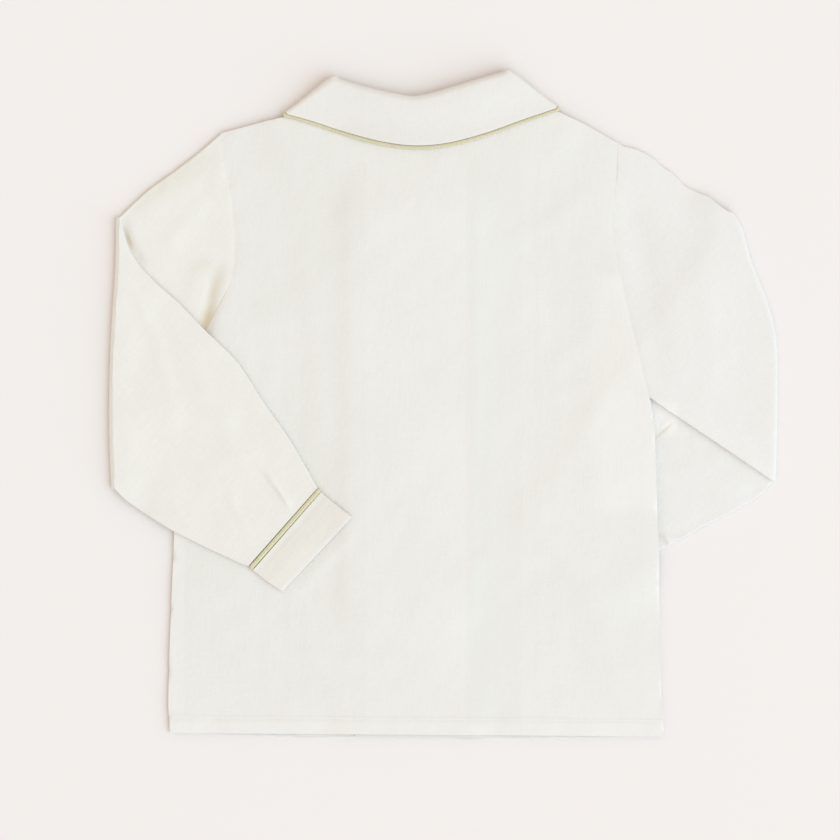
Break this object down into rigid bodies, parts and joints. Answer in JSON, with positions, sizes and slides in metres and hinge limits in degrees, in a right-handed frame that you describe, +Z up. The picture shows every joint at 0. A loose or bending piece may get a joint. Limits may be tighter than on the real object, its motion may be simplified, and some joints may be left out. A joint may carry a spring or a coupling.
{
  "type": "double-breasted shirt laid flat",
  "caption": "Small child's long-sleeved shirt with a round piped collar and double-breasted front, lying face down and flat, one sleeve folded over the back and one under.",
  "frame": {"origin": "on the table, below the middle of the shirt's outline", "axes": "+X to the right as seen from above, +Y from the hem to the collar, +Z up from the table"},
  "size_m": [0.4687, 0.4676, 0.0094],
  "materials": {
    "cloth": "matt ivory linen and cotton plain weave",
    "piping": "sage green bias-cut cotton, softly satin",
    "button": "cream, lightly polished"
  },
  "bodies": {
    "root": {"back": "cloth", "front_left": "cloth", "front_right": "cloth", "sleeve_left": "cloth", "sleeve_right": "cloth", "cuff_left": "cloth", "cuff_right": "cloth", "collar": "cloth", "collar_piping": "piping", "cuff_piping_left": "piping", "cuff_piping_right": "piping", "button_a1": "button", "button_a2": "button", "button_a3": "button", "button_a4": "button", "button_b1": "button", "button_b2": "button", "button_b3": "button", "button_b4": "button"}
  },
  "joints": []
}
